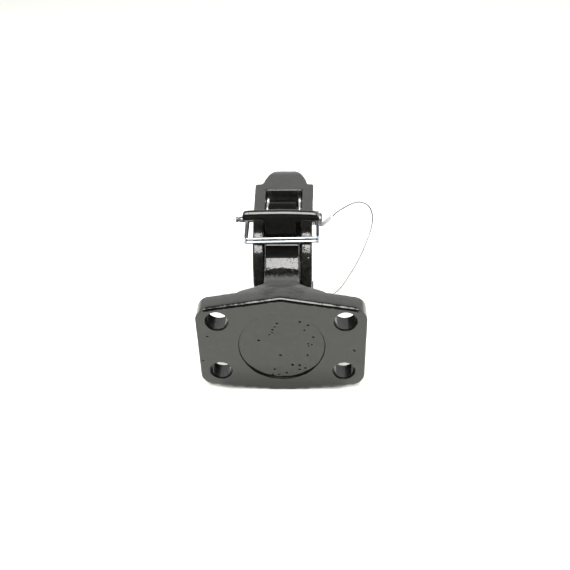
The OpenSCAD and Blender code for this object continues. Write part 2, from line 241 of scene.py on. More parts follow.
LANYARD = [
    (35.5, 75.8, 56.9), (38.1, 75.9, 60), (43, 76, 63.7), (47.9, 76, 66.8), (51.7, 75.6, 68.5), (55.2, 75, 68.9), (58.6, 74, 68),
    (61.1, 73, 65.8), (62.7, 72, 62.2), (63.4, 71, 58), (63.1, 70, 53.7), (61.9, 68, 48.3), (59.7, 66, 42), (56.6, 64, 33.6),
    (52, 61, 24.2), (47, 58.4, 15.8), (42.6, 56.4, 9.2), (38.2, 55, 4.4), (33.6, 54.4, 1),
]
EYE_UP = [
    (35.2, 77, 56.6), (28.25, 78, 49), (27.75, 78.1, 48.45), (26.3, 78.9, 48.9), (24.4, 79.2, 50.3), (22.4, 79, 51.6), (21.65, 78.4, 53.6), (21.65, 77.8, 56.6),
    (21.65, 75.4, 58.3), (21.65, 72.8, 57.3), (21.65, 71.7, 54.7), (21.65, 73, 52.1), (21.8, 75.4, 50.7), (23.2, 77, 49.5), (26.3, 77.1, 48.2), (27.6, 76.9, 48.15),
    (28.15, 76.8, 48.8), (35.5, 75.8, 56.9),
]
EYE_LOW = [
    (33.6, 54.4, 1), (27.8, 54.6, -2.2), (24.6, 55.2, -2.6), (22.6, 55.2, -2.8), (21.5, 54.4, -3), (21.35, 52.4, -2.9), (21.35, 50, -2.6), (21.35, 47.3, -4.2),
    (21.35, 46.7, -7.1), (21.35, 49, -9.3), (21.35, 52, -8.7), (21.35, 54.3, -6.4), (21.7, 55.4, -5), (22.6, 55.9, -4.4), (24.6, 56.2, -3.9),
    (27.8, 55.8, -2.2), (33.2, 55.6, 0.8),
]
CABLE_D = 1.1


def rope_section(d, strands=6, per=5):
    """Outline of a laid rope: a ring of round strands."""
    big = d / 2
    a, b = big * 0.667, big * 0.333
    out = []
    for i in range(strands * per):
        w = 2 * math.pi * i / (strands * per)
        q = (w + math.pi / strands) % (2 * math.pi / strands) - math.pi / strands
        out.append((a * math.cos(q) + math.sqrt(max(0.0, b * b - (a * math.sin(q)) ** 2)), w))
    return out


def make_lanyard():
    path, length = resampled(spline(LANYARD, 24), 0.3)
    run = sweep("lanyard", path, rope_section(CABLE_D), turn=360 / 6.5)
    up, _ = resampled(rounded(spline(EYE_UP, 10), 0.4, 2), 0.28)
    low, _ = resampled(rounded(spline(EYE_LOW, 10), 0.4, 2), 0.28)
    eye_up = sweep("lanyard_eye_upper", up, rope_section(CABLE_D), turn=360 / 6.5)
    eye_low = sweep("lanyard_eye_lower", low, rope_section(CABLE_D), turn=360 / 6.5)
    return run, eye_up, eye_low, path, length


lanyard, eye_up, eye_low, lanyard_path, lanyard_length = make_lanyard()
print("lanyard length", round(lanyard_length, 2))

# ------------------------------------------------------------------ materials


class Nodes:
    """Short hand for building a node material."""

    def __init__(self, name):
        self.mat = bpy.data.materials.new(name)
        self.mat.use_nodes = True
        self.tree = self.mat.node_tree
        self.bsdf = self.tree.nodes["Principled BSDF"]
        self.coord = self.tree.nodes.new("ShaderNodeTexCoord").outputs["Object"]

    def add(self, kind, props=None, **inputs):
        n = self.tree.nodes.new(kind)
        for k, v in (props or {}).items():
            setattr(n, k, v)
        for k, v in inputs.items():
            key = k.replace("_", " ")
            sock = n.inputs[key] if key in n.inputs else n.inputs[int(k[1:])]
            if hasattr(v, "links"):
                self.tree.links.new(v, sock)
            else:
                sock.default_value = v
        return n

    def noise(self, scale, detail=2.0, rough=0.5, vector=None, out=0):
        n = self.add("ShaderNodeTexNoise", Vector=vector or self.coord, Scale=scale, Detail=detail, Roughness=rough)
        return n.outputs[out]

    def ramp(self, fac, stops):
        n = self.add("ShaderNodeValToRGB", Fac=fac)
        e = n.color_ramp.elements
        while len(e) < len(stops):
            e.new(0.5)
        for el, (p, c) in zip(e, stops):
            el.position = p
            el.color = (c, c, c, 1) if not hasattr(c, "__len__") else (*c, 1)
        return n.outputs["Color"]

    def math(self, op, a, b=0.0):
        n = self.add("ShaderNodeMath", {"operation": op})
        for i, v in enumerate((a, b)):
            if hasattr(v, "links"):
                self.tree.links.new(v, n.inputs[i])
            else:
                n.inputs[i].default_value = v
        return n.outputs[0]

    def bump(self, height, distance, normal=None, strength=1.0):
        n = self.add("ShaderNodeBump", Height=height)
        n.inputs["Strength"].default_value = strength
        n.inputs["Distance"].default_value = distance
        if normal is not None:
            self.tree.links.new(normal, n.inputs["Normal"])
        return n.outputs["Normal"]

    def set(self, name, value):
        sock = self.bsdf.inputs[name]
        if hasattr(value, "links"):
            self.tree.links.new(value, sock)
        else:
            sock.default_value = value


def paint(name, tone=1.0, peel=1.0, pits=1.0, rough=0.13, gloss=0.5, painted_sheen=0.0):
    """Gloss black enamel over a rough casting: wavy skin, fine grain and small round pits."""
    n = Nodes(name)
    patch = n.noise(240, 3, 0.7)
    base = n.ramp(patch, [(0.3, (0.0038 * tone, 0.0040 * tone, 0.0036 * tone)), (0.72, (0.0125 * tone, 0.0128 * tone, 0.0112 * tone))])
    if painted_sheen:
        # painted light: a painted sheen lightening the plate's top and the hollow of the neck, ragged where the post
        # begins
        at = n.add("ShaderNodeSeparateXYZ", Vector=n.coord)
        ragged = n.math("MULTIPLY", n.math("SUBTRACT", n.noise(700, 2, 0.6), 0.5), 0.22)
        far = n.ramp(n.math("ADD", n.math("MULTIPLY", at.outputs[1], 20.0), ragged), [(0.6, 1.0), (0.7, 0.25), (0.76, 0.0)])
        close = n.ramp(n.math("MULTIPLY", at.outputs[1], 20.0), [(0.05, 0.0), (0.09, 0.16), (0.18, 0.26), (0.26, 0.6), (0.36, 0.95)])
        high = n.ramp(n.math("MULTIPLY", n.math("SUBTRACT", at.outputs[2], 0.030), 100.0), [(0.05, 0.0), (0.25, 1.0)])
        mottle = n.ramp(n.noise(620, 3, 0.65), [(0.36, 0.8), (0.62, 1.0)])
        over = n.math("MULTIPLY", n.math("MULTIPLY", close, far), n.math("MULTIPLY", high, mottle))
        # painted highlights along the post's two rear corners, as if their rounded edges caught the side lamps
        side = n.ramp(n.math("MULTIPLY", n.math("ABSOLUTE", at.outputs[0]), 50.0), [(0.555, 0.0), (0.575, 1.0), (0.66, 1.0), (0.68, 0.0)])
        post = n.ramp(n.math("MULTIPLY", at.outputs[1], 10.0), [(0.33, 0.0), (0.36, 1.0), (0.49, 1.0), (0.5, 0.0)])
        edge_glint_noise = n.ramp(n.noise(420, 2, 0.6), [(0.4, 0.25), (0.6, 1.0)])
        edge_glints = n.math("MULTIPLY", n.math("MULTIPLY", side, post), n.math("MULTIPLY", high, edge_glint_noise))
        amount = n.math("MAXIMUM", over, edge_glints)
        mixed = n.add("ShaderNodeMix", {"data_type": "RGBA"})
        n.tree.links.new(amount, mixed.inputs[0])
        n.tree.links.new(base, mixed.inputs[6])
        mixed.inputs[7].default_value = (painted_sheen, painted_sheen * 1.01, painted_sheen * 0.96, 1)
        base = mixed.outputs[2]
    n.set("Base Color", base)
    fine = n.noise(1500, 2, 0.5)
    n.set("Roughness", n.ramp(fine, [(0.25, rough - 0.04), (0.8, rough + 0.07)]))
    n.set("Specular IOR Level", gloss)
    n.set("IOR", 1.5)
    bump = n.bump(n.noise(210, 2, 0.5), 0.00007 * peel)
    bump = n.bump(n.noise(760, 2.5, 0.55), 0.00004 * peel, bump)
    # the blast grain of the casting, in patches
    where = n.ramp(n.noise(60, 2, 0.5), [(0.42, 0.15), (0.6, 1.0)])
    grain = n.add("ShaderNodeTexVoronoi", Vector=n.coord, Scale=820.0)
    dimple = n.ramp(grain.outputs["Distance"], [(0.0, 0.0), (0.42, 1.0)])
    some = n.math("LESS_THAN", n.add("ShaderNodeSeparateColor", Color=grain.outputs["Color"]).outputs[1], 0.3 * pits)
    spot = n.math("MULTIPLY", n.math("MULTIPLY", n.math("SUBTRACT", 1.0, dimple), some), where)
    bump = n.bump(n.math("SUBTRACT", 1.0, spot), 0.00014, bump)
    cell = n.add("ShaderNodeTexVoronoi", Vector=n.coord, Scale=330.0)
    pick = n.add("ShaderNodeSeparateColor", Color=cell.outputs["Color"]).outputs[0]
    few = n.math("LESS_THAN", pick, 0.04 * pits)
    hole = n.math("MULTIPLY", n.math("SUBTRACT", 1.0, n.ramp(cell.outputs["Distance"], [(0.0, 0.0), (0.28, 1.0)])), few)
    bump = n.bump(n.math("SUBTRACT", 1.0, hole), 0.00022, bump)
    n.set("Normal", bump)
    return n.mat


def metal(name, color, rough, bump=1.0, pale=None, metallic=1.0, spread=0.06):
    n = Nodes(name)
    tone = n.noise(420, 3, 0.6)
    lo, hi = [c * 0.82 for c in color], [min(1, c * 1.1) for c in color]
    base = n.ramp(tone, [(0.3, lo), (0.7, hi)])
    if pale:
        # paler toward the lower end
        at = n.add("ShaderNodeSeparateXYZ", Vector=n.coord)
        k = n.ramp(n.math("MULTIPLY", at.outputs[2], 10.0), [(0.44, 1.0), (0.64, 0.0)])
        mixed = n.add("ShaderNodeMix", {"data_type": "RGBA"})
        n.tree.links.new(k, mixed.inputs[0])
        n.tree.links.new(base, mixed.inputs[6])
        mixed.inputs[7].default_value = (*pale, 1)
        base = mixed.outputs[2]
    n.set("Base Color", base)
    n.set("Metallic", metallic)
    grain = n.noise(1900, 2, 0.5)
    n.set("Roughness", n.ramp(grain, [(0.25, max(0.02, rough - spread)), (0.8, rough + spread)]))
    n.set("Normal", n.bump(n.noise(900, 2, 0.5), 0.00001 * bump))
    return n.mat


MATS = {
    "body": paint("body_paint", pits=0.8, painted_sheen=0.062),
    "dark": paint("shadow_paint", tone=0.34, pits=0.8, rough=0.3, gloss=0.075),
    "deep": paint("deep_shadow_paint", tone=0.16, pits=0.8, rough=0.3, gloss=0.045),
    "jaw": paint("jaw_paint", pits=0.9, peel=0.7),
    "lever": paint("lever_paint", tone=0.9, pits=0.8, peel=0.9, rough=0.15),
    "pin": paint("pivot_paint", tone=1.1, pits=0.0, peel=0.6, rough=0.25),
    "zinc": metal("zinc_plate", (0.33, 0.35, 0.38), 0.17),
    "pin_zinc": metal("pin_zinc", (0.15, 0.155, 0.16), 0.34),
    "spring": metal("spring_wire", (0.55, 0.56, 0.55), 0.42),
    "rope": metal("wire_rope", (0.17, 0.17, 0.175), 0.55, pale=(0.42, 0.42, 0.415)),
    "crimp": metal("crimp_sleeve", (0.74, 0.745, 0.74), 0.45, metallic=0.6),
}


def darken(ob, pick, mat="dark"):
    """Puts painted shade, a darker and duller black, on the faces that pick chooses by their middles and normals."""
    ob.data.materials.append(MATS[mat])
    m = len(ob.data.polygons)
    mid, nor = np.zeros(m * 3), np.zeros(m * 3)
    ob.data.polygons.foreach_get("center", mid)
    ob.data.polygons.foreach_get("normal", nor)
    on = pick(mid.reshape(-1, 3) / MM, nor.reshape(-1, 3))
    ob.data.polygons.foreach_set("material_index", on.astype(np.int32))
    ob.data.update()


def dress(ob, mat):
    ob.data.materials.clear()
    ob.data.materials.append(MATS[mat])
    return ob


# ------------------------------------------------------------------ cast pieces


def remeshed(node, name, voxel):
    """The CAD node's own skin, evenly remeshed, as a new object."""
    src = nodes[node]
    ob = link(name, src.data.copy())
    mod = ob.modifiers.new("remesh", "REMESH")
    mod.mode = "VOXEL"
    mod.voxel_size = voxel * MM
    mod.adaptivity = 0
    dg = bpy.context.evaluated_depsgraph_get()
    mesh = bpy.data.meshes.new_from_object(ob.evaluated_get(dg))
    old = ob.data
    ob.modifiers.clear()
    ob.data = mesh
    bpy.data.meshes.remove(old)
    mesh.name = name
    mesh.polygons.foreach_set("use_smooth", [True] * len(mesh.polygons))
    return ob


def coords(mesh):
    co = np.zeros(len(mesh.vertices) * 3)
    mesh.vertices.foreach_get("co", co)
    return co.reshape(-1, 3) / MM


def edges(mesh):
    e = np.zeros(len(mesh.edges) * 2, np.int64)
    mesh.edges.foreach_get("vertices", e)
    return e.reshape(-1, 2)


def normals(mesh):
    n = np.zeros(len(mesh.vertices) * 3)
    mesh.vertex_normals.foreach_get("vector", n)
    return n.reshape(-1, 3)


def put(mesh, co):
    mesh.vertices.foreach_set("co", (co * MM).ravel())
    mesh.update()


def relaxed(co, e, weight, rounds, lam=0.5):
    deg = np.bincount(e.ravel(), minlength=len(co)).astype(float)
    for _ in range(rounds):
        mean = np.stack(
            [np.bincount(e[:, 0], co[e[:, 1], k], len(co)) + np.bincount(e[:, 1], co[e[:, 0], k], len(co)) for k in range(3)], 1
        ) / deg[:, None]
        co = co + (lam * weight)[:, None] * (mean - co)
    return co


def ripple(co, layers, seed):
    """Uneven height of a cast and painted skin: layers of (wavelength, height)."""
    out = np.zeros(len(co))
    for i, (wave, height) in enumerate(layers):
        off = Vector((seed * 17.3 + i * 5.1, seed * 3.7, i * 9.2))
        out += height * np.array([noise.noise(Vector(p) / wave + off) for p in co])
    return out


def rippled(ob, layers, seed, w=1.0):
    co = coords(ob.data)
    put(ob.data, co + normals(ob.data) * (ripple(co, layers, seed) * w)[:, None])


def cast(node, name, voxel, rounds, mask=None, layers=((9, 0.07), (3.2, 0.03)), seed=1):
    ob = remeshed(node, name, voxel)
    co = coords(ob.data)
    w = np.ones(len(co)) if mask is None else mask(co)
    put(ob.data, relaxed(co, edges(ob.data), w, rounds))
    rippled(ob, layers, seed, np.clip(0.25 + 0.75 * w, 0, 1))
    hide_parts(node)
    return ob


def refined(ob, pick):
    """Splits the faces whose middle passes pick, so that fine relief has points to stand on."""
    bm = bmesh.new()
    bm.from_mesh(ob.data)
    mids = np.array([tuple(f.calc_center_median()) for f in bm.faces]) / MM
    chosen = {}
    for f, k in zip(bm.faces, pick(mids)):
        if k:
            for e in f.edges:
                chosen[e.index] = e
    bmesh.ops.subdivide_edges(bm, edges=[chosen[i] for i in sorted(chosen)], cuts=1, use_grid_fill=True)
    bm.to_mesh(ob.data)
    bm.free()
    ob.data.polygons.foreach_set("use_smooth", [True] * len(ob.data.polygons))
    ob.data.update()


def body_mask(co):
    """How far each point may relax: less beside the bolt holes and the pivot bore."""
    w = np.ones(len(co))
    for x in (-42.8625, 42.8625):
        for z in (-22.225, 22.225):
            r = np.hypot(co[:, 0] - x, co[:, 2] - z)
            w = np.where((r < 9) & (co[:, 1] < 16), 0.3, w)
    r = np.hypot(co[:, 1] - 58, co[:, 2] - 4)
    return np.where(r < 9, 0.3, w)


def jaw_mask(co):
    w = np.ones(len(co))
    for y, z, q in ((58, 4, 9), (88, 53, 5.5), (75, 55, 4)):
        w = np.where(np.hypot(co[:, 1] - y, co[:, 2] - z) < q, 0.3, w)
    return w


def step(v, a, b):
    t = np.clip((v - a) / (b - a), 0, 1)
    return t * t * (3 - 2 * t)


# pits in the mounting face: x, z, radius, depth
PITS = [
    (-15.5, 5, 1.0, 0.5), (-1, -8.5, 0.9, 0.6), (17.5, -8.5, 1.0, 0.6), (18, 2, 0.8, 0.35), (21.5, 8, 0.8, 0.35), (-3, 20, 0.8, 0.35), (-6, 14.5, 0.7, 0.3),
    (-5.5, -22, 1.0, 0.6), (-2.5, -27, 0.8, 0.45), (3, -25, 0.9, 0.5), (7, -17.5, 1.0, 0.5), (12, -18, 1.0, 0.5), (12, -22, 0.9, 0.4), (49.5, -3, 1.0, 0.4),
    (-7, -27, 0.7, 0.4), (12.5, 21.5, 0.9, 0.35), (18, 18.5, 0.9, 0.3), (-8, 10, 0.7, 0.3), (16, -20.5, 0.9, 0.3), (-4.5, 17, 0.7, 0.3), (-6.2, 12, 0.6, 0.25),
    (18.2, 0, 0.6, 0.3), (20.4, 1.4, 0.6, 0.3), (-54.5, -13, 0.9, 0.5), (15.5, 14, 0.8, 0.25), (-50, 9.5, 0.8, 0.25),
]


def body_painted_shade(mid, nor):
    """Where the body gets painted shade: the recess's corner, the pits, the line under the lip and the post's rear."""
    r = np.hypot(mid[:, 0], mid[:, 2])
    a = np.degrees(np.arctan2(mid[:, 2], mid[:, 0]))
    wave = np.array([noise.noise(Vector((p[0] / 5, p[2] / 5, 6.1))) for p in mid])
    face = (mid[:, 1] < 3) & (nor[:, 1] < -0.2)
    low = step(a, -150, -128) * (1 - step(a, -56, -36))
    half = 0.2 + 0.08 * wave + 0.12 * step(a, -30, 0) * (1 - step(a, 20, 60)) + low * (0.7 + 0.2 * wave)
    on = (mid[:, 1] < 3) & (nor[:, 1] < 0.4) & (np.abs(r - (29.4 - 0.15 * low)) < half)
    for x, z, q, d in PITS:
        on |= face & (np.hypot((mid[:, 0] - x) / 1.1, (mid[:, 2] - z) / 0.85) < q * (0.95 + 0.3 * wave))
    d = 41.8 - math.tan(math.radians(9.8)) * np.abs(mid[:, 0]) - mid[:, 2]
    on |= face & (np.abs(mid[:, 0]) < 51) & (np.abs(d - 1.7 - 0.15 * wave) < 0.8 + 0.2 * wave) & (mid[:, 2] > 20)
    for x in (-42.8625, 42.8625):
        for z in (-22.225, 22.225):
            q = np.hypot(mid[:, 0] - x, mid[:, 2] - z)
            on |= (q < 8.0) & (mid[:, 1] < 1.2) & (nor[:, 1] > -0.9)
    # painted shade: dark specks in the post's bright band, and a painted dark mottled hump just below it
    luck = np.random.RandomState(11).rand(len(mid))
    post = (np.abs(mid[:, 0]) < 11.8) & (mid[:, 2] > 35.5) & (nor[:, 1] < 0.1)
    on |= post & (mid[:, 1] > 37) & (mid[:, 1] < 44.5) & (luck < 0.05 + 0.16 * step(mid[:, 1], 40.5, 43.5))
    start = 37.3 - 1.9 * (mid[:, 0] / 11.8) ** 2 + 0.5 * wave
    on |= post & (mid[:, 1] < start) & (luck < 0.86 * step(mid[:, 1], 27.5, 34.5))
    on |= (nor[:, 1] < -0.78) & (mid[:, 1] > 40) & (mid[:, 1] < 50) & (mid[:, 2] > 36) & (np.abs(mid[:, 0]) < 11.4)
    return on


HOLES = [(x, z) for x in (-42.8625, 42.8625) for z in (-22.225, 22.225)]


def plate_holes(ob):
    """True round bolt holes with softened rims, and the plate's well rounded corners."""
    near = lambda m: np.min([np.abs(np.hypot(m[:, 0] - x, m[:, 2] - z) - 7.5) for x, z in HOLES], axis=0)
    refined(ob, lambda m: (near(m) < 1.1) & ((m[:, 1] < 1.7) | ((m[:, 1] > 12.5) & (m[:, 1] < 15))))
    co = coords(ob.data)
    for x, z in HOLES:
        dx, dz = co[:, 0] - x, co[:, 2] - z
        r = np.maximum(np.hypot(dx, dz), 1e-6)
        q, y = r.copy(), co[:, 1].copy()
        wall = (np.abs(r - 7.5) < 0.75) & (y > 0.7) & (y < 13.3)
        q[wall] = 7.5
        for edge, sign in ((0.7, -1), (13.3, 1)):
            rim = (np.abs(r - 7.5) < 0.75) & ((y - edge) * sign >= 0) & (y > -1) & (y < 15)
            vr, vy = np.minimum(r - 8.2, -0.02), y - edge
            ln = np.maximum(np.hypot(vr, vy), 1e-6)
            q = np.where(rim, 8.2 + vr / ln * 0.7, q)
            y = np.where(rim, edge + vy / ln * 0.7, y)
        co[:, 0], co[:, 2], co[:, 1] = x + dx / r * q, z + dz / r * q, y
    R, cx = 12.0, 57.5 - 12.0
    for side, cz in ((1, 41.8 - 12.18 - 7.86), (-1, 41.5 - 12.07 - 4.78)):
        vx, vz = np.abs(co[:, 0]) - cx, co[:, 2] * side - cz
        ln = np.maximum(np.hypot(vx, vz), 1e-6)
        k = ((vx > 0) & (vz > 0) & (co[:, 1] < 14.8) & (ln > R - 0.4)) * (1 - R / ln)
        k = np.maximum(k, 0)
        co[:, 0] -= np.sign(co[:, 0]) * vx * k
        co[:, 2] -= side * vz * k
    put(ob.data, co)


def plate_face(ob):
    """The mounting face: a crisp round recess, its pits, and the lip along the upper edge."""
    co = coords(ob.data)
    flat = (co[:, 1] < 1.75) & (np.hypot(co[:, 0], co[:, 2]) < 32)
    co[flat, 1] = 0
    # even out the points where the recess's wall was
    w = ((np.hypot(co[:, 0], co[:, 2]) < 31) & flat).astype(float)
    co = relaxed(co, edges(ob.data), w, 4)
    co[flat, 1] = 0
    put(ob.data, co)
    refined(ob, lambda m: (m[:, 1] < 0.6) & (np.hypot(m[:, 0], m[:, 2]) < 31.2))
    refined(ob, lambda m: (m[:, 1] < 0.6) & (np.abs(np.hypot(m[:, 0], m[:, 2]) - 29.35) < 1.0))
    top = lambda x: 41.8 - math.tan(math.radians(9.8)) * np.abs(x)
    refined(ob, lambda m: (m[:, 1] < 3.4) & (top(m[:, 0]) - m[:, 2] < 3.8) & (m[:, 2] > 20))
    refined(ob, lambda m: (np.abs(m[:, 0]) < 12) & (m[:, 1] > 26) & (m[:, 1] < 45.5) & (m[:, 2] > 35.5))
    co = coords(ob.data)
    nor = normals(ob.data)
    face = co[:, 1] < 1.2
    r = np.hypot(co[:, 0], co[:, 2])
    wave = np.array([noise.noise(Vector((p[0] / 7, p[2] / 7, 3.3))) for p in co[:, (0, 0, 2)]])
    fine = np.array([noise.noise(Vector((p[0] / 2.1, p[2] / 2.1, 8.1))) for p in co[:, (0, 0, 2)]])
    # the recess, 1 mm deep, with a rim that is a little worn
    sink = 1.0 * (1 - step(r + 0.12 * wave, 29.2, 29.62))
    inner = (r < 31) & face
    co[:, 1] = np.where(inner, co[:, 1] + sink + 0.035 * wave + 0.02 * fine, co[:, 1])
    for x, z, q, d in PITS:
        e = ((co[:, 0] - x) / (1.15 * q)) ** 2 + ((co[:, 2] - z) / (0.8 * q)) ** 2
        co[:, 1] += np.where(face, d * np.exp(-e * 1.6), 0)
    # the lip: the rim stands proud of a shallow hollow just below it
    d = top(co[:, 0]) - co[:, 2]
    on = (np.abs(co[:, 0]) < 51) & (co[:, 1] < 2.2) & (co[:, 2] > 20) & (nor[:, 1] < -0.3)
    amp = (0.1 + 0.08 * wave + 0.06 * fine) * (1 - step(np.abs(co[:, 0]), 46, 51))
    co[:, 1] += np.where(on, amp * np.exp(-(((d - 3.1) / 0.75) ** 2)), 0)
    # the upper rear edge itself, evenly rounded but a little uneven along its length
    slow = np.array([noise.noise(Vector((x / 9, 5.2, 0))) + 0.5 * noise.noise(Vector((x / 3.1, 1.7, 0))) for x in co[:, 0]])
    er = 2.5
    lift = 0.15 * slow
    dd = d - lift
    near = (np.abs(co[:, 0]) < 50.5) & (co[:, 1] < er) & (dd < er) & (co[:, 2] > 20)
    vy, vd = co[:, 1] - er, dd - er
    ln = np.maximum(np.hypot(vy, vd), 1e-6)
    co[:, 1] = np.where(near, er + vy / ln * er, co[:, 1])
    co[:, 2] = np.where(near, top(co[:, 0]) - (lift + er + vd / ln * er), co[:, 2])
    # rough skin in the hollow of the neck
    nearness = np.exp(-(((co[:, 1] - 34) / 4.5) ** 2)) * (np.abs(co[:, 0]) < 13) * (co[:, 2] > 35.5)
    rough = np.array([noise.noise(Vector(p) / 1.5) + 0.5 * noise.noise(Vector(p) / 0.8) if k > 0.05 else 0.0 for p, k in zip(co, nearness)])
    co += nor * (0.13 * rough * nearness)[:, None]
    put(ob.data, co)


body = cast("hook_body", "cast_body", 0.92, 5, body_mask, seed=1)
co = coords(body.data)
ends = step(np.abs(co[:, 0]), 13, 18) * (1 - step(np.abs(co[:, 0]), 29, 31)) * step(co[:, 1], 13.2, 15) * step(co[:, 2], 20, 34)
co[:, 1] += 0.9 * ends
put(body.data, co)
plate_holes(body)
plate_face(body)
jaw = cast("upper_jaw", "cast_jaw", 0.7, 4, jaw_mask, seed=2)
lever = cast("lock_lever", "cast_lever", 0.45, 5, None, layers=((7, 0.06), (2.5, 0.03)), seed=3)


def shape_nose(ob):
    """The jaw's front: a slightly wider frame, a fuller nose with well rounded side edges, and the window's front edge."""
    co = coords(ob.data)
    co[:, 0] *= 1 + 0.031 * np.clip((co[:, 1] - 72) / 40, 0, 1) - 0.011 * step(co[:, 1], 114, 118)
    co[:, 0] += 0.45 * step(co[:, 1], 113, 118)
    half_at = lambda u: 16.75 * (1 - u) ** 0.42
    u = np.clip((co[:, 1] - 116.8) / (153.2 - 116.8), 0, 1)
    top = np.where(co[:, 1] < 128.2, 61.5, 36.5 + np.sqrt(np.maximum(0, 625 - (co[:, 1] - 128.2) ** 2)))
    q = 1.2 + 3.6 * step(co[:, 1], 117, 140)
    x = co[:, 0] - 0.45
    vx, vz = np.abs(x) - (half_at(u) - q), co[:, 2] - (top - q)
    ln = np.maximum(np.hypot(vx, vz), 1e-6)
    k = ((vx > 0) & (vz > 0) & (co[:, 1] > 116.8)) * np.clip(1 - q / ln, 0, 1)
    co[:, 0] -= np.sign(x) * vx * k
    co[:, 2] -= vz * k
    w = np.exp(-(((co[:, 1] - 104.6) / 1.6) ** 2)) * (1 - step(np.abs(co[:, 0]), 13.2, 15.5)) * step(co[:, 2], 52, 56)
    co[:, 1] += 0.85 * w
    put(ob.data, co)


def shape_bar(ob):
    """The T-bar: its lower rear edge well rounded, its ends a little lower and thinner than its middle."""
    co = coords(ob.data)
    x = co[:, 0] + 0.6
    out = step(np.abs(x), 11.5, 14)
    bar = co[:, 2] > 66.0
    vy, vz = co[:, 1] - 57.0, co[:, 2] - 69.4
    ln = np.maximum(np.hypot(vy, vz), 1e-6)
    k = (bar & (vy < 0) & (vz < 0)) * out * np.clip(1 - 3.0 / ln, 0, 1)
    co[:, 1] -= vy * k
    co[:, 2] -= vz * k
    vx, vz = x - 20.7, co[:, 2] - 67.9
    ln = np.maximum(np.hypot(vx, vz), 1e-6)
    k = (bar & (vx > 0) & (vz > 0)) * np.clip(1 - 6.0 / ln, 0, 1)
    co[:, 0] -= vx * k
    co[:, 2] -= vz * k
    u = np.clip(np.abs(x) / 26.7, 0, 1.05) ** 2
    fade = step(co[:, 2], 60, 67)
    co[:, 2] -= fade * u * np.where(x > 0, 1.3, 0.7)
    co[:, 1] -= np.where(bar & (co[:, 1] > 57), (co[:, 1] - 57) * 0.4 * u, 0)
    put(ob.data, co)


shape_nose(jaw)
shape_bar(lever)
for ob, body_name, mat, slot in ((body, "hook", "body", "black_paint"), (jaw, "jaw", "jaw", "black_paint"), (lever, "lever", "lever", "black_paint")):
    dress(ob, mat)
    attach(ob, body_name)
# painted shade on the body's recess ring, pits, lip line, hole rims and post
darken(body, body_painted_shade, "deep")
# painted shade: random dark specks on the jaw's rear-facing faces
darken(jaw, lambda m, n: (n[:, 1] < -0.35) & (m[:, 1] < 62) & (m[:, 2] > 20) & (np.random.RandomState(4).rand(len(m)) < 0.14))
# painted shade: the lever's arm and web, and the T-bar's rear face below its highlight
darken(lever, lambda m, n: (m[:, 2] < 66.3) | ((n[:, 1] < -0.82) & (m[:, 2] < 73.5)))

# ------------------------------------------------------------------ turned and bent pieces

# jaw pivot, staked flush: a shallow centre mark in each end
PIVOT = arc_profile(-21.6, 21.6, 7, 0.9)
PIVOT = [(-20.7, 0.02), (-21.1, 1.1), (-21.35, 1.6), (-21.45, 2.2)] + [(x, r) for x, r in PIVOT if r > 5] + [(21.45, 2.2), (21.35, 1.6), (21.1, 1.1), (20.7, 0.02)]
pivot = lathe("jaw_pivot", PIVOT, (58, 4))
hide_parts("jaw_pivot_pin")
LEVER_PIN = arc_profile(-21.6, 21.6, 3.5, 0.5)
lever_pin = lathe("lever_pivot", LEVER_PIN, (88, 53), 48)
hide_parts("lever_pivot_pin")
for ob in (pivot, lever_pin):
    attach(dress(ob, "pin"), "jaw")

# lock pin: rounded tail with a keeper groove, chamfered head drilled for the wire
TAIL = [(-34.1, 0.02), (-34.08, 1.2), (-33.9, 1.75), (-33.6, 2.05), (-33.2, 2.19), (-32.6, 2.2), (-32.45, 2.12), (-32.3, 1.6), (-31.5, 1.6), (-31.35, 2.12), (-31.2, 2.2)]
HEAD = [(22.3, 2.2), (22.5, 2.3), (22.6, 2.7), (22.6, 4.1), (22.75, 4.38), (23.05, 4.5), (27.0, 4.5), (27.45, 4.32), (27.75, 3.9), (27.9, 3.4), (27.9, 0.02)]
BAIL_X = 24.6
lock_pin = lathe("lock_pin_zinc", TAIL + [(x, 2.2) for x in range(-29, 22, 3)] + HEAD, (75, 55), 64)
drill = lathe("drill", [(40, 1.15), (70, 1.15)], (0, 0), 24)
drill.data.transform(Matrix.Rotation(math.radians(-90), 4, "Y"))
drill.data.transform(Matrix.Translation((BAIL_X * MM, 75 * MM, 0)))
cut = lock_pin.modifiers.new("cut", "BOOLEAN")
cut.object, cut.operation, cut.solver = drill, "DIFFERENCE", "EXACT"
new = bpy.data.meshes.new_from_object(lock_pin.evaluated_get(bpy.context.evaluated_depsgraph_get()))
lock_pin.modifiers.clear()
lock_pin.data = new
bpy.data.objects.remove(drill)
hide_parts("lock_pin")
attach(dress(lock_pin, "pin_zinc"), "pin")

L = -25.4
BAIL = [
    (BAIL_X, 75, 55.3), (BAIL_X, 75, 61.6), (BAIL_X, 66, 60.6), (BAIL_X, 50.7, 55.2), (L, 50.9, 54.1), (L, 64, 57.7), (L, 76, 59.3),
    (L, 81, 55.4), (L, 76, 50.6), (L, 62, 50.4), (L, 50.4, 51.2), (L, 48.0, 53.35), (BAIL_X, 48.0, 54.35), (BAIL_X, 50.3, 51.7),
    (BAIL_X, 66, 48.8), (BAIL_X, 75, 48.4), (BAIL_X, 75, 54.7),
]
bail_path, _ = resampled(rounded(BAIL, 1.7, 8), 0.45)
bail = sweep("bail_wire", bail_path, circle(1.1, 20))
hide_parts("pin_bail")
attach(dress(bail, "zinc"), "bail")

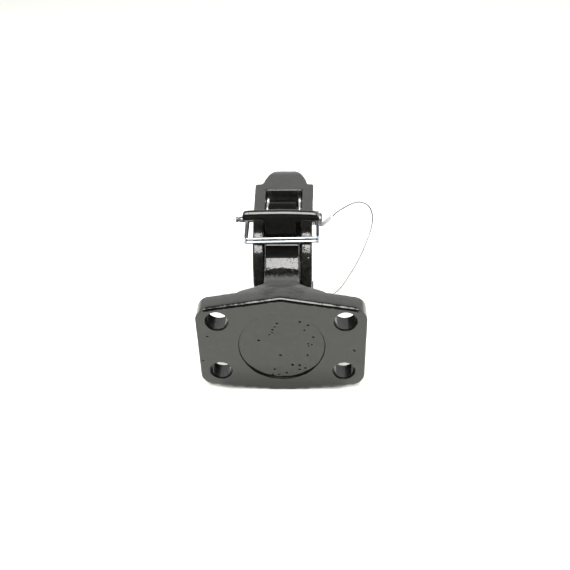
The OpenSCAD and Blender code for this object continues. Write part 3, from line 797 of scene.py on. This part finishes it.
Y0, Z0, W = 88, 53, 4.9
half = rounded([(11.7, 103.4, 51.0), (11.7, 101.2, 54.4), (11.7, 98.9, 57.6), (11.7, 97.3, 57.5), (11.7, 95.2, 54.4), (11.7, 93.9, 55.4), (11.7, 92.4, 57.8), (11.7, Y0 + 1, Z0 + W)], 0.9)
half += [Vector((11.7, Y0 + W * math.cos(math.radians(90 + 7.5 * i)), Z0 + W * math.sin(math.radians(90 + 7.5 * i)))) for i in range(25)]
half += rounded([(11.7, Y0 + 1, Z0 - W), (11.7, 95.4, Z0 - W), (0, 95.4, Z0 - W)], 2.4)
spring_path, _ = resampled(half + [Vector((-p.x, p.y, p.z)) for p in half[-2::-1]], 0.5)
spring = sweep("lever_spring_wire", spring_path, circle(1.1, 18), cap=0.5)
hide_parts("lever_spring")
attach(dress(spring, "spring"), "jaw")


def ferrule(name, a, b, across, seed):
    """Oval crimp sleeve with two pressed bands."""
    a, b = Vector(a), Vector(b)
    d = (b - a).normalized()
    length = (b - a).length
    u = Vector(across)
    u = (u - u.dot(d) * d).normalized()
    v = d.cross(u)
    sides, verts, faces = 40, [], []
    stations = [(0.0, 0.72), (0.08, 0.84), (0.22, 0.94), (0.45, 1.0)]
    m = 26
    for i in range(m + 1):
        stations.append((0.6 + (length - 1.2) * i / m, None))
    stations += [(length - 0.45, 1.0), (length - 0.22, 0.94), (length - 0.08, 0.84), (length, 0.72)]
    for s, f in stations:
        t = s / length
        dip = sum(math.exp(-(((s - c * length) / 0.85) ** 4)) for c in (0.3, 0.7))
        g = f if f is not None else 1.0
        hw, hh = 1.9 * g * (1 + 0.015 * dip), 1.3 * g * (1 - 0.2 * dip)
        for j in range(sides):
            w = 2 * math.pi * j / sides
            c, q = math.cos(w), math.sin(w)
            x = math.copysign(abs(c) ** 0.85, c) * hw
            y = math.copysign(abs(q) ** 0.8, q) * hh
            verts.append(a + d * s + u * x + v * y)
    n = len(stations)
    for i in range(n - 1):
        for j in range(sides):
            p, q = i * sides + j, i * sides + (j + 1) % sides
            faces.append((p, q, q + sides, p + sides))
    faces.append(tuple(range(sides - 1, -1, -1)))
    faces.append(tuple((n - 1) * sides + j for j in range(sides)))
    return dress(make(name, verts, faces), "crimp")


ferrule_up = ferrule("ferrule_upper", (28.2, 77.4, 48.9), (35.6, 76.4, 57), (0, 1, 0), 1)
ferrule_low = ferrule("ferrule_lower", (33.6, 55, 1), (27.8, 55.2, -2.2), (0, 1, 0), 2)
for ob, node, rides in ((ferrule_up, "lanyard_ferrule_upper", "pin"), (ferrule_low, "lanyard_ferrule_lower", "jaw")):
    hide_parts(node)
    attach(ob, rides)


def hex_head():
    """Screw: hexagon head with a turned chamfer, on a plain shank."""
    verts, faces = [], []
    rings = [(15.0, 2.0, 0), (22.9, 2.0, 0), (22.92, 2.6, 0), (22.92, 3.05, 1), (23.1, 3.42, 1), (24.8, 3.42, 1), (25.15, 3.2, 0.8), (25.3, 2.75, 0.1), (25.3, 0.02, 0)]
    sides = 48
    for x, r, h in rings:
        for j in range(sides):
            w = 2 * math.pi * j / sides
            q = (w + math.pi / 6) % (math.pi / 3) - math.pi / 6
            hexed = r * math.cos(math.pi / 6) / math.cos(q)
            f = r * (1 - h) + hexed * h * 1.02
            verts.append((x, 50 + f * math.cos(w), -6 + f * math.sin(w)))
    for i in range(len(rings) - 1):
        for j in range(sides):
            a, b = i * sides + j, i * sides + (j + 1) % sides
            faces.append((a, b, b + sides, a + sides))
    faces.append(tuple(range(sides - 1, -1, -1)))
    faces.append(tuple((len(rings) - 1) * sides + j for j in range(sides)))
    ob = make("screw_zinc", verts, faces)
    return ob


screw = hex_head()
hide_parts("lanyard_screw")
WASHER = [(22.02, 2.05), (22.02, 4.3), (22.1, 4.46), (22.3, 4.5), (22.6, 4.5), (22.8, 4.46), (22.88, 4.3), (22.88, 2.05)]
washer = lathe("washer_zinc", WASHER, (50, -6), 56)
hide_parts("lanyard_washer")
for ob in (screw, washer):
    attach(dress(ob, "zinc"), "jaw")

# the free run is left on its own between the pin, which slides, and the jaw, where its lower end is fixed
dress(lanyard, "rope")
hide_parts("lanyard_cable")
for ob, rides in ((eye_up, "pin"), (eye_low, "jaw")):
    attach(dress(ob, "rope"), rides)
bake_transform(lanyard)

# ------------------------------------------------------------------ studio

floor_z = cad_box[0].z


def make_floor():
    s = 4.0
    ob = make("floor", [(-s, -s, 0), (s, -s, 0), (s, s, 0), (-s, s, 0)], [(0, 1, 2, 3)], scale=1.0)
    ob.data.transform(Matrix.Translation((0, 0, floor_z)))
    n = Nodes("floor_white")
    pale = n.ramp(n.noise(1.5, 2), [(0.3, (0.85, 0.86, 0.82)), (0.7, (0.865, 0.875, 0.835))])
    # a painted contact shadow: the floor's colour darkened beside the plate's foot
    at = n.add("ShaderNodeSeparateXYZ", Vector=n.coord)
    behind = n.ramp(n.math("ADD", n.math("MULTIPLY", at.outputs[1], -20.0), 0.5), [(0.25, 1.0), (0.42, 0.58), (0.6, 0.58), (1.0, 1.0)])
    beside = n.ramp(n.math("MULTIPLY", n.math("ABSOLUTE", at.outputs[0]), 5.0), [(0.13, 0.0), (0.24, 1.0)])
    keep = n.math("MAXIMUM", behind, beside)
    shade = n.add("ShaderNodeMix", {"data_type": "RGBA"})
    n.tree.links.new(keep, shade.inputs[0])
    shade.inputs[6].default_value = (0.0, 0.0, 0.0, 1)
    n.tree.links.new(pale, shade.inputs[7])
    n.set("Base Color", shade.outputs[2])
    n.set("Roughness", 0.7)
    n.set("Specular IOR Level", 0.2)
    ob.data.materials.append(n.mat)


def area(name, at, aim, w, h, radiance, color=(1, 1, 1)):
    data = bpy.data.lights.new(name, "AREA")
    data.shape = "RECTANGLE"
    data.size, data.size_y = w, h
    data.energy = radiance * math.pi * w * h
    data.color = color
    ob = bpy.data.objects.new(name, data)
    scene.collection.objects.link(ob)
    d = (Vector(aim) - Vector(at)).normalized()
    ob.matrix_world = Matrix.Translation(at) @ d.to_track_quat("-Z", "Y").to_matrix().to_4x4()
    return ob


def make_world():
    world = bpy.data.worlds.new("studio")
    world.use_nodes = True
    t = world.node_tree
    bg = t.nodes["Background"]
    co = t.nodes.new("ShaderNodeTexCoord").outputs["Generated"]
    sep = t.nodes.new("ShaderNodeSeparateXYZ")
    t.links.new(co, sep.inputs[0])

    def m(op, a, b=0.0, c=None):
        n = t.nodes.new("ShaderNodeMath")
        n.operation = op
        for i, v in enumerate((a, b, c)):
            if v is None:
                continue
            if hasattr(v, "links"):
                t.links.new(v, n.inputs[i])
            else:
                n.inputs[i].default_value = v
        return n.outputs[0]

    # angle round the X axis from the far horizon up over the top to the near one
    angle = m("ARCTAN2", sep.outputs["Z"], sep.outputs["Y"])
    deg = m("MULTIPLY", angle, 180 / math.pi)
    ramp = t.nodes.new("ShaderNodeValToRGB")
    t.links.new(m("DIVIDE", deg, 180.0), ramp.inputs["Fac"])
    e = ramp.color_ramp.elements
    stops = [(0.0, 1.1), (28 / 180, 1.17), (32.5 / 180, 1.33), (44 / 180, 1.32), (56 / 180, 0.16), (88 / 180, 0.12), (152 / 180, 0.10), (1.0, 0.10)]
    while len(e) < len(stops):
        e.new(0.5)
    for el, (p, c) in zip(e, stops):
        el.position = p
        el.color = (c, c, c, 1)
    # the sides are a mid grey
    side = m("ABSOLUTE", sep.outputs["X"])
    mix = t.nodes.new("ShaderNodeMix")
    mix.data_type = "RGBA"
    k = t.nodes.new("ShaderNodeMapRange")
    k.inputs["From Min"].default_value = 0.45
    k.inputs["From Max"].default_value = 0.8
    t.links.new(side, k.inputs["Value"])
    t.links.new(k.outputs["Result"], mix.inputs["Factor"])
    t.links.new(ramp.outputs["Color"], mix.inputs[6])
    mix.inputs[7].default_value = (0.8, 0.8, 0.8, 1)
    t.links.new(mix.outputs[2], bg.inputs["Color"])
    bg.inputs["Strength"].default_value = 1.0
    scene.world = world


make_floor()
make_world()
mid = Vector((0, 0.07, 0.02))
# overhead softbox, from straight above to well behind the camera
aim_angle = math.radians(118)
area("top_box", mid + Vector((0, math.cos(aim_angle), math.sin(aim_angle))) * 1.1, mid, 0.8, 0.93, 14.2, (1.0, 0.99, 0.965))
area("left_box", mid + Vector((-1.0, 0.1, 0.5)), mid, 0.5, 0.7, 4.0)
area("right_box", mid + Vector((1.0, 0.1, 0.5)), mid, 0.5, 0.7, 4.0)
scene.view_settings.view_transform = "Standard"
scene.view_settings.look = "None"
scene.view_settings.exposure = 0.0

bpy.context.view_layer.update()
for ob in scene.objects:
    if ob.type == "MESH" and not ob.hide_render:
        ob.data.calc_loop_triangles()
        print("tris", ob.name, len(ob.data.loop_triangles))
